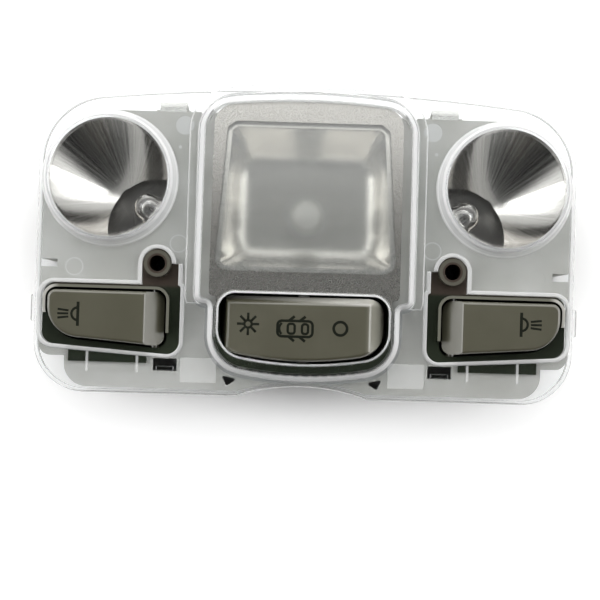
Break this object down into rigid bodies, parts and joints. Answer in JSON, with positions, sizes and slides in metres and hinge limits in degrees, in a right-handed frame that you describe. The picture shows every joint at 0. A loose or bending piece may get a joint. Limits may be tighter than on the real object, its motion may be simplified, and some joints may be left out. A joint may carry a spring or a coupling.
{
  "type": "car dome and reading lamp",
  "caption": "Overhead car lamp: clear cover with round reading lenses, raised frosted dome window, grey press keys, rocker switch, reflectors and wedge bulbs.",
  "frame": {"origin": "middle of the cover's outline, on the plane of the rear rim the lamp lies on", "axes": "+X across the lamp to the right, +Y towards the plain edge with the spring clips, +Z out of the lit face"},
  "size_m": [0.1912, 0.11, 0.0386],
  "materials": {
    "clear_plastic": "clear gloss",
    "frosted_plastic": "frosted",
    "bulb_glass": "clear",
    "mirror_coat": "vacuum metallised",
    "satin_silver": "satin lacquer",
    "grey_plastic": "fine grain",
    "key_plastic": "fine grain",
    "frame_plastic": "semi gloss",
    "black_plastic": "matt",
    "brass": "bright",
    "spring_steel": "bright",
    "screw_steel": "zinc plated",
    "tungsten": "drawn wire"
  },
  "bodies": {
    "lamp": {"cover": "clear_plastic", "centre_lens": "clear_plastic", "centre_mask": "satin_silver", "diffuser": "frosted_plastic", "centre_reflector": "mirror_coat", "centre_bulb": "bulb_glass", "centre_filament": "tungsten", "centre_holder": "grey_plastic", "holder_blades": "brass", "rocker_frame": "frame_plastic", "contact_rails": "brass", "deck": "grey_plastic", "rear_housing": "grey_plastic", "connector": "black_plastic", "connector_pins": "brass", "bus_strip_supply": "brass", "bus_strip_return": "brass", "housing_screws": "screw_steel", "reading_reflector_left": "mirror_coat", "reading_reflector_right": "mirror_coat", "reading_bulb_left": "bulb_glass", "reading_bulb_right": "bulb_glass", "reading_filament_left": "tungsten", "reading_filament_right": "tungsten", "reading_holder_left": "black_plastic", "reading_holder_right": "black_plastic", "switch_frame_left": "frame_plastic", "switch_frame_right": "frame_plastic", "push_switch_left": "black_plastic", "push_switch_right": "black_plastic", "retaining_clip_left": "spring_steel", "retaining_clip_right": "spring_steel"},
    "key_left": {"reading_key_left": "key_plastic"},
    "key_right": {"reading_key_right": "key_plastic"},
    "rocker": {"rocker_key": "key_plastic", "rocker_wiper": "brass"},
    "plunger_left": {"push_plunger_left": "grey_plastic"},
    "plunger_right": {"push_plunger_right": "grey_plastic"}
  },
  "joints": [
    {"name": "key_left_press", "type": "hinge", "parent": "lamp", "child": "key_left", "pos_m": [-0.0522, -0.02675, 0.0225], "axis": [0, -1, 0], "range_deg": [0, 4], "stiffness_Nm_per_rad": 0.6, "springref_deg": -4.58},
    {"name": "key_right_press", "type": "hinge", "parent": "lamp", "child": "key_right", "pos_m": [0.0522, -0.02675, 0.0225], "axis": [0, 1, 0], "range_deg": [0, 4], "stiffness_Nm_per_rad": 0.6, "springref_deg": -4.58},
    {"name": "rocker_turn", "type": "hinge", "parent": "lamp", "child": "rocker", "pos_m": [0, -0.03035, 0.0215], "axis": [0, 1, 0], "range_deg": [0, 15]},
    {"name": "plunger_left_slide", "type": "slide", "parent": "lamp", "child": "plunger_left", "axis": [0, 0, -1], "range_m": [0, 0.002]},
    {"name": "plunger_right_slide", "type": "slide", "parent": "lamp", "child": "plunger_right", "axis": [0, 0, -1], "range_m": [0, 0.002]}
  ],
  "couplings": [
    {"joint": "plunger_left_slide", "follows": "key_left_press", "m_per_rad": 0.0274},
    {"joint": "plunger_right_slide", "follows": "key_right_press", "m_per_rad": 0.0274}
  ]
}
